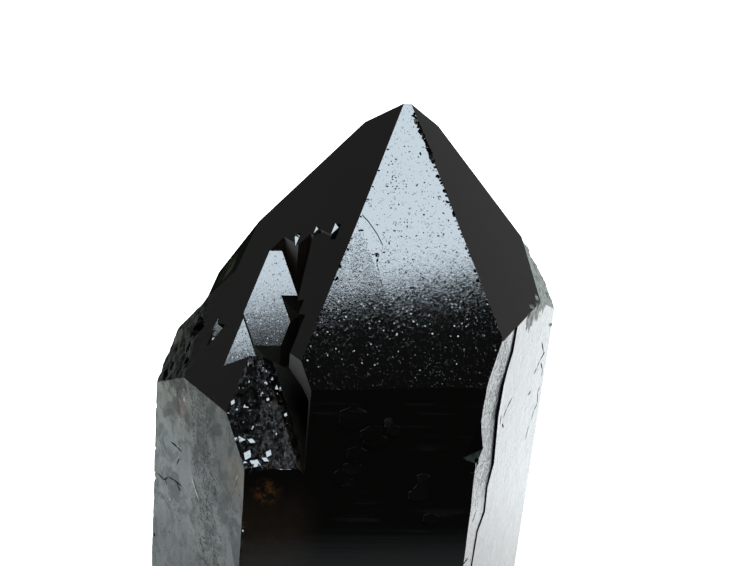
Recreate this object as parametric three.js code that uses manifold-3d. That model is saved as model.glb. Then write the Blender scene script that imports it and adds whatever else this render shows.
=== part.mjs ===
// A morion quartz crystal: one thick black point with a shorter crystal grown along its left side.
// Millimetres, +Z up. The long axis of the crystal stands upright and the foot is cut off flat.
// While it is built, the origin is the point where the three front tip faces would meet.
// At the end the crystal is moved so that the origin is at the middle of its foot.

import * as THREE from 'three';
import { ConvexGeometry } from 'three/addons/geometries/ConvexGeometry.js';
import { mergeVertices } from 'three/addons/utils/BufferGeometryUtils.js';
import Module from 'manifold-3d';

// Driving dimensions of the main crystal.
const crystalHeight = 95; // from the foot to where the front tip faces would meet
const tipSlope = 51.79; // degrees between the upright axis and the normal of a tip face
const faceTurns = { front: 0, frontRight: 60, backRight: 120, back: 180, backLeft: 240, frontLeft: 300 };
const frontSideTurn = 1.1; // the front side face is turned by this many degrees from a true hexagon
const mainSides = { front: 24.93, frontRight: 21, backRight: 23.7, back: 20, backLeft: 25.6, frontLeft: 23.2 };
const mainTips = { front: 0, frontRight: 0, backRight: 1.4, back: -1.3, backLeft: 1.5, frontLeft: 0 };
const leftShoulderNormal = [-0.897, 0, 0.443]; // where the main tip steps down to the shorter crystal
const leftShoulderDistance = 8.25;
const crustCornerNormal = [0.84, -0.238, 0.487]; // the broken corner under the crust on the right
const crustCornerDistance = 5.9;
const terraceStart = 11.4; // left of this distance the front tip face leans a little to the left
const terraceLean = 0.02;

// The shorter crystal on the left shares the main crystal's front left tip face.
const companionSides = { backRight: 8, back: 14, backLeft: 25.6, frontLeft: 29.8 };
const companionTips = { backLeft: -1.86, frontLeft: 0 };
const outerSides = { ...mainSides, frontLeft: companionSides.frontLeft };
const brokenCornerNormal = [-0.848, -0.202, 0.489]; // the broken top left corner of the shorter crystal
const brokenCornerDistance = 7.5;

// The shorter crystal ends in four steps, each with its own tip faces and front side.
const companionSteps = [
  { tips: { front: -10.2, frontRight: -22.5 }, sides: { front: 7.7, frontRight: 12 } },
  { tips: { front: -10.2, frontRight: -24 }, sides: { front: 12, frontRight: -7.3 } },
  { tips: { front: -9.9, frontRight: -28 }, sides: { front: 24.93, frontRight: 12 } },
  { tips: { front: -7, frontRight: -25.7, back: -32.6 }, sides: { front: 24.93, frontRight: 12 } },
];

// The deep groove between the two crystals. Its back wall goes up in upright steps.
const grooveSteps = [
  { front: 3.8, frontLeft: 24 },
  { front: 6.9, frontLeft: 15.5 },
  { front: 7.6, frontLeft: 14.2 },
  { front: 9.9, frontLeft: 13.5 },
];
const grooveRightWall = 2.5; // distance of the right wall of the groove, as a back left side face
const grooveFoot = 49; // how far below the tip the groove ends
const undercutWall = -1.7; // below the main crystal's front left corner the groove runs further right
const undercutFront = 12;
const undercutTop = [-13.4, -22.5, -32.4];

const outward = 60; // far enough out to be clear of the crystal

const wasm = await Module();
wasm.setup();

// Directions and faces.

function level(turn) {
  const angle = THREE.MathUtils.degToRad(turn);
  return new THREE.Vector3(Math.sin(angle), -Math.cos(angle), 0);
}

function sideNormal(name) {
  return level(name === 'front' ? frontSideTurn : faceTurns[name]);
}

function tipNormal(name) {
  const slope = THREE.MathUtils.degToRad(tipSlope);
  return level(faceTurns[name]).multiplyScalar(Math.sin(slope)).setZ(Math.cos(slope));
}

function face(normal, distance) {
  return { normal, distance };
}

function through(normal, point) {
  return face(normal, normal.dot(point));
}

function flipped({ normal, distance }) {
  return face(normal.clone().negate(), -distance);
}

function sides(distances) {
  return Object.entries(distances).map(([name, distance]) => face(sideNormal(name), distance));
}

function tips(distances) {
  return Object.entries(distances).map(([name, distance]) => face(tipNormal(name), distance));
}

function top(height) {
  return face(new THREE.Vector3(0, 0, 1), height);
}

function bottom(height) {
  return face(new THREE.Vector3(0, 0, -1), -height);
}

function vector([x, y, z]) {
  return new THREE.Vector3(x, y, z);
}

// Closed solids.

function solidFrom(source) {
  const geometry = source.clone();
  geometry.deleteAttribute('normal');
  geometry.deleteAttribute('uv');
  const merged = mergeVertices(geometry, 1e-4);
  return new wasm.Manifold(new wasm.Mesh({
    numProp: 3,
    vertProperties: new Float32Array(merged.attributes.position.array),
    triVerts: new Uint32Array(merged.index.array),
  }));
}

function hull(points) {
  return solidFrom(new ConvexGeometry(points));
}

function meetingPoint(a, b, c) {
  const span = b.normal.clone().cross(c.normal);
  const volume = a.normal.dot(span);
  if (Math.abs(volume) < 1e-6) {
    return null;
  }
  return span.multiplyScalar(a.distance)
    .add(c.normal.clone().cross(a.normal).multiplyScalar(b.distance))
    .add(a.normal.clone().cross(b.normal).multiplyScalar(c.distance))
    .divideScalar(volume);
}

// The solid inside a set of flat faces: its corners are where three of them meet.
function boundedBy(faces) {
  const corners = [];
  for (let i = 0; i < faces.length; i += 1) {
    for (let j = i + 1; j < faces.length; j += 1) {
      for (let k = j + 1; k < faces.length; k += 1) {
        const point = meetingPoint(faces[i], faces[j], faces[k]);
        const inside = point && faces.every(({ normal, distance }) => normal.dot(point) <= distance + 1e-5);
        if (inside && corners.every((corner) => corner.distanceTo(point) > 1e-3)) {
          corners.push(point);
        }
      }
    }
  }
  return hull(corners);
}

function joined(solids) {
  return solids.reduce((sum, solid) => sum.add(solid));
}

// The same run of small numbers each time, from 0 to 1.
function randomSource(seed) {
  let state = seed;
  return () => {
    state = (state * 1664525 + 1013904223) % 4294967296;
    return state / 4294967296;
  };
}

function between(random, low, high) {
  return low + (high - low) * random();
}

// The main crystal.

function mainCrystal() {
  const terraceNormal = tipNormal('front').addScaledVector(sideNormal('frontLeft'), terraceLean);
  return boundedBy([
    ...tips(mainTips),
    ...sides(mainSides),
    face(terraceNormal, terraceLean * terraceStart),
    face(vector(leftShoulderNormal), leftShoulderDistance),
    face(vector(crustCornerNormal), crustCornerDistance),
    bottom(-crystalHeight),
  ]);
}

// Everything that the groove takes from the main crystal.
function groove() {
  const leftOfWall = flipped(face(sideNormal('backLeft'), grooveRightWall));
  const reach = [face(sideNormal('frontLeft'), outward), face(sideNormal('front'), outward), top(outward)];
  const whole = boundedBy([leftOfWall, ...reach, face(sideNormal('back'), outward), bottom(-grooveFoot)]);
  const kept = joined(grooveSteps.map(({ front, frontLeft }) => boundedBy([
    face(sideNormal('front'), front),
    face(sideNormal('frontLeft'), frontLeft),
    face(sideNormal('back'), outward + 1),
    face(sideNormal('frontRight'), outward),
    face(sideNormal('backLeft'), outward + 1),
    top(outward + 1),
    bottom(-outward),
  ])));
  const undercut = boundedBy([
    flipped(face(sideNormal('backLeft'), undercutWall)),
    flipped(face(sideNormal('front'), undercutFront)),
    through(new THREE.Vector3(0.3, -0.25, 0.92).normalize(), vector(undercutTop)),
    through(new THREE.Vector3(0.75, -0.1, 0.65).normalize(), vector(undercutTop)),
    ...reach,
    bottom(-grooveFoot),
  ]);
  return whole.subtract(kept).add(undercut);
}

// The shorter crystal.

function companionCrystal() {
  const shared = [
    ...tips(companionTips),
    ...sides(companionSides),
    face(vector(brokenCornerNormal).normalize(), brokenCornerDistance),
    bottom(-crystalHeight),
  ];
  return joined(companionSteps.map((step) => boundedBy([
    ...shared,
    ...tips(step.tips),
    ...sides(step.sides),
  ])));
}

// Small flat-floored pits, each given by three corners on its floor and cut out through a tip face.
const pits = [
  { open: 'frontLeft', corners: [[-9.2, -8.9, -15.8], [-8.6, -9.3, -16.3], [-9.8, -9.9, -17.1]] },
  { open: 'frontLeft', corners: [[-11.5, -6.9, -17.0], [-11.2, -7.2, -17.3], [-12.0, -7.6, -17.9]] },
  { open: 'frontLeft', corners: [[-14.2, -4.9, -18.5], [-13.5, -5.6, -19.2], [-14.1, -6.6, -20.0]] },
  { open: 'frontLeft', corners: [[-23.9, -7.0, -30.7], [-23.4, -8.1, -32.1], [-25.2, -9.5, -33.9]] },
  { open: 'front', corners: [[-4.9, -14.1, -18.2], [-3.9, -14.1, -18.2], [-4.5, -15.0, -19.3]] },
];

function pit({ open, corners }) {
  const lift = tipNormal(open).multiplyScalar(2);
  const floor = corners.map(vector);
  return hull([...floor, ...floor.map((corner) => corner.clone().add(lift))]);
}

// The low round-ended ledge on the front tip face, a thin plate missing from the face.
const ledgePoints = [
  [-6.1, -10.9], [-5.2, -11.5], [-4.1, -12.5], [-3.4, -13.4],
  [-3.4, -13.9], [-4.0, -14.1], [-5.0, -14.1], [-5.8, -13.0],
];
const ledgeDepth = 0.2;

function pointOnTip(name, x, y, lift) {
  const normal = tipNormal(name);
  const z = (mainTips[name] - normal.x * x - normal.y * y) / normal.z;
  return new THREE.Vector3(x, y, z).addScaledVector(normal, lift);
}

function frontLedge() {
  return hull(ledgePoints.flatMap(([x, y]) => [
    pointOnTip('front', x, y, -ledgeDepth),
    pointOnTip('front', x, y, 1),
  ]));
}

// The crack that runs down the front right side. The strip in front of it lies a little lower.
// Each point is how far along the side it is, its height, and how much lower the strip lies there.
const crackPath = [
  [-6.2, -26.6, 0.2], [-6.6, -30.1, 0.25], [-8.3, -32.2, 0.2], [-9.1, -34, 0.3], [-9.7, -38.2, 0.35],
  [-8.4, -46, 0.25], [-10.1, -48.8, 0.15], [-9.6, -53, 0.15], [-12, -54.8, 0.12], [-12.5, -59.6, 0.12],
  [-12.1, -68, 0.1], [-12.9, -77, 0.1],
];
const crackWidth = 0.5;
const crackDepth = 1;
const stripEnd = -20; // past the front right edge, so that the strip is cut all the way to it

function pointOnSide(name, along, height, lift) {
  const normal = sideNormal(name);
  const across = new THREE.Vector3(-normal.y, normal.x, 0);
  return across.multiplyScalar(along).addScaledVector(normal, mainSides[name] + lift).setZ(height);
}

function crackSection([along, height], width) {
  return [
    pointOnSide('frontRight', along - width / 2, height, 0.5),
    pointOnSide('frontRight', along + width / 2, height, 0.5),
    pointOnSide('frontRight', along, height, -crackDepth),
  ];
}

function stripSection([along, height, drop]) {
  return [along, stripEnd].flatMap((place) => [
    pointOnSide('frontRight', place, height, 1),
    pointOnSide('frontRight', place, height, -drop),
  ]);
}

function crack() {
  const widths = crackPath.map((point, index) => (index === crackPath.length - 1 ? 0.2 : crackWidth));
  return joined(crackPath.slice(1).flatMap((point, index) => [
    hull([...crackSection(crackPath[index], widths[index]), ...crackSection(point, widths[index + 1])]),
    hull([...stripSection(crackPath[index]), ...stripSection(point)]),
  ]));
}

// A chip broken off the front right edge: a three-cornered face with a level floor under it.
const edgeChip = [[9.6, -24.7, -36.2], [7.6, -25, -41.4], [11, -22.4, -41.2], [10.2, -24.3, -42.4]];
const edgeChipReach = [[14, -29, -38], [14, -29, -43]];

function frontEdgeChip() {
  return hull([...edgeChip, ...edgeChipReach].map(vector));
}

// Tiny parallel points, as on the crumbly end of the shorter crystal.
function tinyPoint(random, place, size) {
  const tipFaces = Object.keys(faceTurns).map((name) => (
    through(tipNormal(name), place.clone().addScaledVector(tipNormal(name), size * between(random, 0.25, 0.6)))
  ));
  const sideFaces = Object.keys(faceTurns).map((name) => (
    through(sideNormal(name), place.clone().addScaledVector(sideNormal(name), size * between(random, 0.35, 0.9)))
  ));
  const limits = [
    face(tipNormal('frontLeft'), companionTips.frontLeft),
    face(sideNormal('front'), outerSides.front),
    face(sideNormal('frontLeft'), outerSides.frontLeft),
  ];
  return boundedBy([...tipFaces, ...sideFaces, ...limits, bottom(place.z - size * 1.6)]);
}

const crumblyPointCount = 46;
const crumblyPointSize = [0.9, 2.4];

// The crumbly end is the lowest step's front tip face.
// Places on it are picked by how far right and down they are.
function crumblyPoints() {
  const random = randomSource(7);
  const step = companionSteps[3];
  const frontTip = face(tipNormal('front'), step.tips.front);
  const solids = [];
  for (let index = 0; index < crumblyPointCount; index += 1) {
    const front = between(random, 17, 24.6);
    const across = random();
    const frontSide = face(sideNormal('front'), front);
    const leftTip = meetingPoint(frontTip, frontSide, face(tipNormal('frontLeft'), companionTips.frontLeft));
    const leftSide = meetingPoint(frontTip, frontSide, face(sideNormal('frontLeft'), companionSides.frontLeft));
    const left = leftTip.x > leftSide.x ? leftTip : leftSide;
    const right = meetingPoint(frontTip, frontSide, face(tipNormal('frontRight'), step.tips.frontRight));
    const place = left.clone().lerp(right, 0.08 + 0.86 * across);
    const size = between(random, ...crumblyPointSize) * (across < 0.55 ? 1 : 0.6);
    solids.push(tinyPoint(random, place.add(new THREE.Vector3(0, 0.2 * size, -0.2 * size)), size));
  }
  return solids;
}

// Rough lumps: flattened many-sided grains set along a path.
function grain(random, place, size) {
  const geometry = new THREE.IcosahedronGeometry(size, 0);
  const turn = new THREE.Euler(between(random, 0, 6.28), between(random, 0, 6.28), between(random, 0, 6.28));
  geometry.scale(between(random, 0.6, 1.2), between(random, 0.5, 1), between(random, 0.5, 1));
  geometry.applyMatrix4(new THREE.Matrix4().makeRotationFromEuler(turn));
  geometry.translate(place.x, place.y, place.z);
  return solidFrom(geometry);
}

function grainsAlong(seed, path, count, spread, sizes) {
  const random = randomSource(seed);
  const curve = new THREE.CatmullRomCurve3(path.map(vector));
  const solids = [];
  for (let index = 0; index < count; index += 1) {
    const place = curve.getPointAt((index + 0.5) / count);
    const shift = [spread, spread, spread].map((reach) => between(random, -reach, reach));
    solids.push(grain(random, place.add(vector(shift)), between(random, ...sizes)));
  }
  return solids;
}

// The bumpy crust covers the broken right corner and runs down the edge below it.
const crustCorner = [[19.3, 1.9, -20.6], [20.9, -5.4, -26.6], [24.2, 2.2, -28.6]];
const crustEdge = [[23.4, 1.7, -27.6], [24.4, 2.4, -31], [24.5, 2.7, -34]];
const crustSinking = 0.75; // how far the middles of the grains lie below the surface
const crustSizes = [0.7, 1.2];

function crust() {
  const random = randomSource(12);
  const [upper, front, lower] = crustCorner.map(vector);
  const onCorner = Array.from({ length: 34 }, () => {
    const share = Math.sqrt(random());
    const place = front.clone().lerp(lower, random()).sub(upper).multiplyScalar(share).add(upper);
    const inward = vector(crustCornerNormal).multiplyScalar(-crustSinking);
    return grain(random, place.add(inward), between(random, ...crustSizes));
  });
  return [...onCorner, ...grainsAlong(11, crustEdge, 18, 0.35, [0.5, 0.9])];
}

// Broken places: grains are cut out along these paths.
const brokenPaths = [
  {
    seed: 21, count: 16, spread: 1.6, sizes: [0.9, 1.9],
    path: [[-25.8, -3.6, -31], [-28.6, -7.2, -36], [-30.6, -5.4, -40]],
  },
  {
    seed: 22, count: 10, spread: 0.5, sizes: [0.5, 0.9],
    path: [[20.7, -5.6, -26.4], [18.6, -9.6, -26.6], [16.6, -14.2, -26.9]],
  },
  {
    seed: 23, count: 13, spread: 0.2, sizes: [0.5, 0.8],
    path: [[0.9, -2.0, -2.2], [2.4, -4, -4.9], [3.6, -6, -7.6]],
  },
  {
    seed: 24, count: 12, spread: 0.35, sizes: [0.25, 0.5],
    path: [[3.8, -6.6, -8.4], [7.2, -12.6, -15.9], [9.6, -16.8, -21.3], [11.2, -20, -25.2]],
  },
  {
    seed: 25, count: 4, spread: 0.3, sizes: [0.4, 0.8],
    path: [[10.4, -23.8, -41.2], [9.4, -24.9, -43.4]],
  },
  {
    seed: 26, count: 8, spread: 0.3, sizes: [0.25, 0.5],
    path: [[-8.6, -14.9, -19], [-10.4, -18, -22.9], [-12.6, -21.8, -27.7]],
  },
  {
    seed: 27, count: 18, spread: 0.7, sizes: [0.5, 1.2],
    path: [[-31.9, -4.4, -44], [-32, -4, -58], [-32, -4, -72], [-32, -4, -86]],
  },
  {
    seed: 28, count: 12, spread: 0.8, sizes: [0.8, 1.7],
    path: [[-3, 19.6, -31], [9, 19.6, -30], [14.4, 19, -36]],
  },
];

// Chips around the cut foot.
const footChipCount = 26;
const footChipSizes = [1, 3.2];

function footChips() {
  const random = randomSource(31);
  const names = ['front', 'frontRight', 'backRight', 'back', 'backLeft', 'frontLeft'];
  const corners = names.map((name, index) => meetingPoint(
    face(sideNormal(name), outerSides[name]),
    face(sideNormal(names[(index + 1) % names.length]), outerSides[names[(index + 1) % names.length]]),
    bottom(-crystalHeight),
  ));
  const outline = new THREE.CatmullRomCurve3([...corners, corners[0]], false, 'catmullrom', 0);
  const solids = [];
  for (let index = 0; index < footChipCount; index += 1) {
    const place = outline.getPointAt((index + between(random, 0, 0.8)) / footChipCount);
    const size = between(random, ...footChipSizes);
    solids.push(grain(random, place.add(new THREE.Vector3(0, 0, -0.2 * size)), size));
  }
  return solids;
}

// Growth plates: thin plates left on the side faces, each with a pointed upper end and a level lower end.
// The limits are how far along the side it starts and ends, and the heights of its two ends.
const growthPlates = [
  { on: 'backRight', lift: 0.6, from: -8, to: 6, upper: -41, lower: -63 },
  { on: 'backRight', lift: 0.4, from: -3, to: 11.5, upper: -55, lower: -84 },
  { on: 'back', lift: 0.8, from: -9, to: 3, upper: -38, lower: -66 },
  { on: 'back', lift: 0.5, from: -2, to: 10, upper: -52, lower: -87 },
  { on: 'backLeft', lift: 0.7, from: -5, to: 8, upper: -47, lower: -69 },
  { on: 'backLeft', lift: 0.4, from: -9, to: 2, upper: -60, lower: -86 },
];

function growthPlate({ on, lift, from, to, upper, lower }) {
  const normal = sideNormal(on);
  const across = new THREE.Vector3(-normal.y, normal.x, 0);
  const peak = pointOnSide(on, (from + to) / 2, upper, 0);
  const slant = (direction) => across.clone().multiplyScalar(direction).setZ(0.79).normalize();
  return boundedBy([
    face(normal, mainSides[on] + lift),
    flipped(face(normal, mainSides[on] - 1)),
    ...sides(outerSides).filter((side) => side.normal.distanceTo(normal) > 0.1),
    face(across, to),
    face(across.clone().negate(), -from),
    through(slant(1), peak),
    through(slant(-1), peak),
    bottom(lower),
  ]);
}

// Shallow level growth lines on the three back sides, each a thin wedge cut with its own two ends.
const growthLines = [
  { on: 'backRight', from: -14, to: 4, height: -36 },
  { on: 'backRight', from: -2, to: 15, height: -47 },
  { on: 'backRight', from: -14, to: 2, height: -71 },
  { on: 'backRight', from: 1, to: 15, height: -76 },
  { on: 'back', from: -15, to: -2, height: -45 },
  { on: 'back', from: 2, to: 15, height: -58 },
  { on: 'back', from: -14, to: -3, height: -74 },
  { on: 'backLeft', from: -15, to: -1, height: -54 },
  { on: 'backLeft', from: 0, to: 14, height: -61 },
  { on: 'backLeft', from: -3, to: 15, height: -79 },
];
const growthLineDepth = 0.35;
const growthLineHeight = 0.6;

function growthLine({ on, from, to, height }) {
  return hull([
    pointOnSide(on, from, height, 0.5),
    pointOnSide(on, to, height, 0.5),
    ...[from + 2, to - 2].flatMap((along) => [
      pointOnSide(on, along, height - growthLineHeight, 1),
      pointOnSide(on, along, height + growthLineHeight, 1),
      pointOnSide(on, along, height, -growthLineDepth),
    ]),
  ]);
}

// The whole crystal.

function quartzCrystal() {
  const main = mainCrystal()
    .subtract(groove())
    .subtract(frontLedge());
  const body = main.add(companionCrystal()).add(joined(growthPlates.map(growthPlate)));
  const cuts = [
    ...pits.map(pit),
    ...brokenPaths.flatMap(({ seed, path, count, spread, sizes }) => grainsAlong(seed, path, count, spread, sizes)),
    ...footChips(),
    ...growthLines.map(growthLine),
    crack(),
    frontEdgeChip(),
  ];
  return body
    .subtract(joined(cuts))
    .add(joined([...crumblyPoints(), ...crust()]));
}

// The outer body alone, without loose crumbs or sealed hollows.
function outerBody(solid) {
  return solid.decompose().reduce((largest, piece) => (piece.volume() > largest.volume() ? piece : largest));
}

function geometryOf(solid) {
  const mesh = solid.getMesh();
  const geometry = new THREE.BufferGeometry();
  geometry.setAttribute('position', new THREE.BufferAttribute(Float32Array.from(mesh.vertProperties), 3));
  geometry.setIndex(new THREE.BufferAttribute(Uint32Array.from(mesh.triVerts), 1));
  return geometry;
}

const morion = new THREE.MeshStandardMaterial({ color: 0x14130f, roughness: 0.12, metalness: 0 });

const geometry = geometryOf(outerBody(quartzCrystal()));
geometry.computeBoundingBox();
const box = geometry.boundingBox;
const middle = box.getCenter(new THREE.Vector3());
geometry.translate(-middle.x, -middle.y, -box.min.z);

const crystal = new THREE.Mesh(geometry, morion);
crystal.name = 'quartz_crystal';

const group = new THREE.Group();
group.add(crystal);

export default group;
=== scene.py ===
import math
import random

import bpy
import numpy as np
from mathutils import Matrix, Quaternion, Vector


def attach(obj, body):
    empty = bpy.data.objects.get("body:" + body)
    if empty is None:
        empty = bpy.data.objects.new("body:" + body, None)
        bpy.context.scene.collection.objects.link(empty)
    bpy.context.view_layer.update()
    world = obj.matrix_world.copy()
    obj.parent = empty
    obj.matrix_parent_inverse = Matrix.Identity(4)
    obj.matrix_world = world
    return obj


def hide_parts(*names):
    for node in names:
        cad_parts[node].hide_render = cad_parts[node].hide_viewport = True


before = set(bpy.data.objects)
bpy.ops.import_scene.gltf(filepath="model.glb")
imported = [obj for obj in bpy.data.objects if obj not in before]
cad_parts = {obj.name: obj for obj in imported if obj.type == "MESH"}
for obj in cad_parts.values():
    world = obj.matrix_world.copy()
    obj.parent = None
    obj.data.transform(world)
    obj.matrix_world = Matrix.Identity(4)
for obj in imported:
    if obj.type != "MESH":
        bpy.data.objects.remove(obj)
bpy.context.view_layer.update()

# The crystal is measured in millimetres from the point where its three front tip faces would meet
mm = 0.001
tipPoint = Vector((3.089, 2.257, 95.0))
tipSlope = math.radians(51.79)
upwards = Vector((0, 0, 1))


def spot(x, y, z):
    return (Vector((x, y, z)) + tipPoint) * mm


def sideDirection(turn):
    angle = math.radians(turn)
    return Vector((math.sin(angle), -math.cos(angle), 0))


def away(turn, rise):
    angle = math.radians(rise)
    return sideDirection(turn) * math.cos(angle) + upwards * math.sin(angle)


def tipDirection(turn):
    return sideDirection(turn) * math.sin(tipSlope) + upwards * math.cos(tipSlope)


frontTip = tipDirection(0)
leftTip = tipDirection(-60)
rightTip = tipDirection(60)
frontSide = sideDirection(1.1)
rightSide = sideDirection(60)
leftSide = sideDirection(-60)
leftCorner = Vector((-0.848, -0.202, 0.489))
leftShoulder = Vector((-0.897, 0, 0.443))
rightCorner = Vector((0.84, -0.238, 0.487))
frontDistance = 24.93
rightDistance = 21.0
leftDistance = 29.8
crumblyDistance = -7.0


def onFrontTip(x, z, distance=0.0):
    return Vector((x, (frontTip.z * z - distance) / -frontTip.y, z))


def onSide(direction, distance, along, z):
    return direction * distance + upwards.cross(direction) * along + upwards * z


# Selecting and editing
def only(piece):
    bpy.ops.object.select_all(action="DESELECT")
    piece.select_set(True)
    bpy.context.view_layer.objects.active = piece


def editMode(mode="FACE"):
    bpy.ops.object.mode_set(mode="EDIT")
    bpy.ops.mesh.select_mode(type=mode)


def objectMode():
    bpy.ops.object.mode_set(mode="OBJECT")


def joined(parts, name):
    bpy.ops.object.select_all(action="DESELECT")
    for part in parts:
        part.select_set(True)
    bpy.context.view_layer.objects.active = parts[0]
    if len(parts) > 1:
        bpy.ops.object.join()
    whole = bpy.context.active_object
    whole.name = name
    bpy.ops.object.transform_apply(location=True, rotation=True, scale=True)
    return whole


def combine(piece, cutter, operation):
    only(piece)
    change = piece.modifiers.new("combine", "BOOLEAN")
    change.solver = "MANIFOLD"
    change.operation = operation
    change.object = cutter
    bpy.ops.object.modifier_apply(modifier=change.name)
    bpy.data.objects.remove(cutter)


# A small shape is a lump, a point, a block or a plate, with its place, half its size, and how it is turned
def turnOf(out, along):
    side = out.cross(along).normalized()
    return Matrix((side.cross(out).normalized(), side, out.normalized())).transposed().to_euler()


def addShape(shape):
    settings = {"location": spot(*shape["place"]), "rotation": shape["turn"]}
    if shape["kind"] == "lump":
        bpy.ops.mesh.primitive_ico_sphere_add(subdivisions=1, radius=mm, **settings)
    elif shape["kind"] == "point":
        bpy.ops.mesh.primitive_cone_add(vertices=6, radius1=mm, radius2=0, depth=2 * mm, **settings)
    elif shape["kind"] == "block":
        bpy.ops.mesh.primitive_cube_add(size=2 * mm, **settings)
    else:
        corners = shape["corners"]
        bpy.ops.mesh.primitive_cylinder_add(vertices=corners, radius=mm, depth=2 * mm, **settings)
    bpy.context.active_object.scale = shape["size"]
    return bpy.context.active_object


# Shapes that touch each other go into different groups, so that each group is a clean solid
clearance = 1.05


def apart(shape, other):
    return (shape["place"] - other["place"]).length > shape["reach"] + other["reach"]


def combineShapes(crystal, shapes, operation, name):
    groups = []
    for shape in shapes:
        shape["reach"] = max(shape["size"]) * clearance
        for group in groups:
            if all(apart(shape, other) for other in group):
                group.append(shape)
                break
        else:
            groups.append([shape])
    for group in groups:
        combine(crystal, joined([addShape(shape) for shape in group], name), operation)
    print(name, len(shapes), "shapes in", len(groups), "groups")


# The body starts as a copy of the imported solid, with its loose triangles merged
def startCrystal():
    only(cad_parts["quartz_crystal"])
    bpy.ops.object.duplicate()
    crystal = bpy.context.active_object
    crystal.name = "morion_crystal"
    crystal.parent = None
    bpy.ops.mesh.customdata_custom_splitnormals_clear()
    editMode()
    bpy.ops.mesh.select_all(action="SELECT")
    bpy.ops.mesh.remove_doubles(threshold=1e-6)
    bpy.ops.mesh.dissolve_limited(angle_limit=math.radians(0.05))
    objectMode()
    print("crystal copied from the solid,", len(crystal.data.polygons), "faces")
    return crystal


# Small pits etched into the front tip faces: a cluster near the top, a scatter lower down,
# and a few deep spots, each with its x, its height, half its width and half its height
tipPits = {
    "seed": 5,
    "clusterCentre": (-1.8, -10.3),
    "clusterSpread": (0.75, 1.0),
    "clusterCount": 26,
    "scatterCount": 150,
    "depthRange": (6.0, 25.0),
    "halfWidth": 0.43,
    "radius": (0.05, 0.14),
    "lengthening": (0.9, 1.8),
    "flatness": 0.4,
    "deepest": 0.25,
    "lean": 20,
    "deepSpots": ((-6.2, -15.6, 0.4, 0.16), (-4.2, -18.2, 0.42, 0.42), (-4.15, -18.7, 0.2, 0.35)),
}


def etchTipPits(crystal):
    chance = random.Random(tipPits["seed"])
    (middleX, middleZ), (spreadX, spreadZ) = tipPits["clusterCentre"], tipPits["clusterSpread"]
    places = []
    while len(places) < tipPits["clusterCount"]:
        places.append((chance.gauss(middleX, spreadX), chance.gauss(middleZ, spreadZ)))
    low, high = tipPits["depthRange"]
    while len(places) < tipPits["clusterCount"] + tipPits["scatterCount"]:
        depth = math.sqrt(chance.uniform(low * low, high * high))
        places.append((chance.uniform(-tipPits["halfWidth"], tipPits["halfWidth"]) * depth, -depth))
    pits = []
    for x, z, halfWidth, halfHeight in tipPits["deepSpots"]:
        pits.append({
            "kind": "lump",
            "place": onFrontTip(x, z),
            "size": (halfWidth, halfHeight, tipPits["deepest"]),
            "turn": turnOf(frontTip, Vector((1, 0, 0))),
        })
    for x, z in places:
        radius = chance.uniform(*tipPits["radius"])
        length = radius * chance.uniform(*tipPits["lengthening"])
        pits.append({
            "kind": "lump",
            "place": onFrontTip(x, z),
            "size": (length, radius, radius * tipPits["flatness"]),
            "turn": turnOf(frontTip, away(chance.uniform(0, 360), tipPits["lean"])),
        })
    combineShapes(crystal, pits, "DIFFERENCE", "tipPits")


# Nicks along the two slanting edges of the front tip face. Each row has its side, where it starts and
# ends below the tip, how far apart its nicks are, and their sizes. The right edge is the more ragged one.
edgeNicks = {
    "seed": 9,
    "reach": 0.4544,
    "inwards": (0.0, 0.22),
    "narrowing": 0.8,
    "lengthening": (0.9, 1.6),
    "unevenness": (0.5, 1.5),
    "rows": (
        (1, 2.2, 8.6, 0.42, (0.22, 0.42)),
        (1, 8.6, 27.4, 0.5, (0.1, 0.26)),
        (-1, 6.5, 25.0, 1.7, (0.12, 0.28)),
    ),
}


def chipEdges(crystal):
    chance = random.Random(edgeNicks["seed"])
    nicks = []
    for side, depth, lowest, spacing, sizes in edgeNicks["rows"]:
        while depth < lowest:
            size = chance.uniform(*sizes)
            width = edgeNicks["narrowing"] * size
            across = edgeNicks["reach"] * depth - chance.uniform(*edgeNicks["inwards"])
            nicks.append({
                "kind": "lump",
                "place": onFrontTip(side * across, -depth),
                "size": (width, width, size * chance.uniform(*edgeNicks["lengthening"])),
                "turn": [chance.uniform(0, math.tau) for _ in range(3)],
            })
            depth += spacing * chance.uniform(*edgeNicks["unevenness"])
    combineShapes(crystal, nicks, "DIFFERENCE", "edgeNicks")


# Low growth plates on the front side. Each is how far along the face it is, its height,
# half its width and half its height, its corners and its tilt. Its upper edge stands proud.
hillocks = {
    "rise": 0.3,
    "thickness": 0.5,
    "plates": (
        (-7.3, -36.0, 1.95, 1.7, 6, 0),
        (-4.7, -38.0, 1.7, 1.0, 6, -14),
        (-4.2, -39.1, 1.75, 0.95, 6, 4),
        (-6.4, -41.1, 1.4, 1.2, 6, 6),
        (-6.8, -43.1, 1.35, 0.9, 6, 2),
        (-8.1, -44.2, 1.0, 1.1, 6, -10),
        (-7.4, -44.9, 1.0, 0.9, 5, -4),
        (2.0, -46.9, 1.35, 0.85, 6, 0),
        (2.4, -45.9, 1.1, 0.85, 6, -28),
        (2.5, -44.4, 0.9, 0.8, 5, 3),
        (-2.0, -37.6, 0.9, 0.85, 6, 0),
        (-2.8, -36.6, 0.6, 0.8, 5, 8),
        (4.2, -50.4, 1.2, 0.85, 6, 5),
    ),
}


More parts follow.
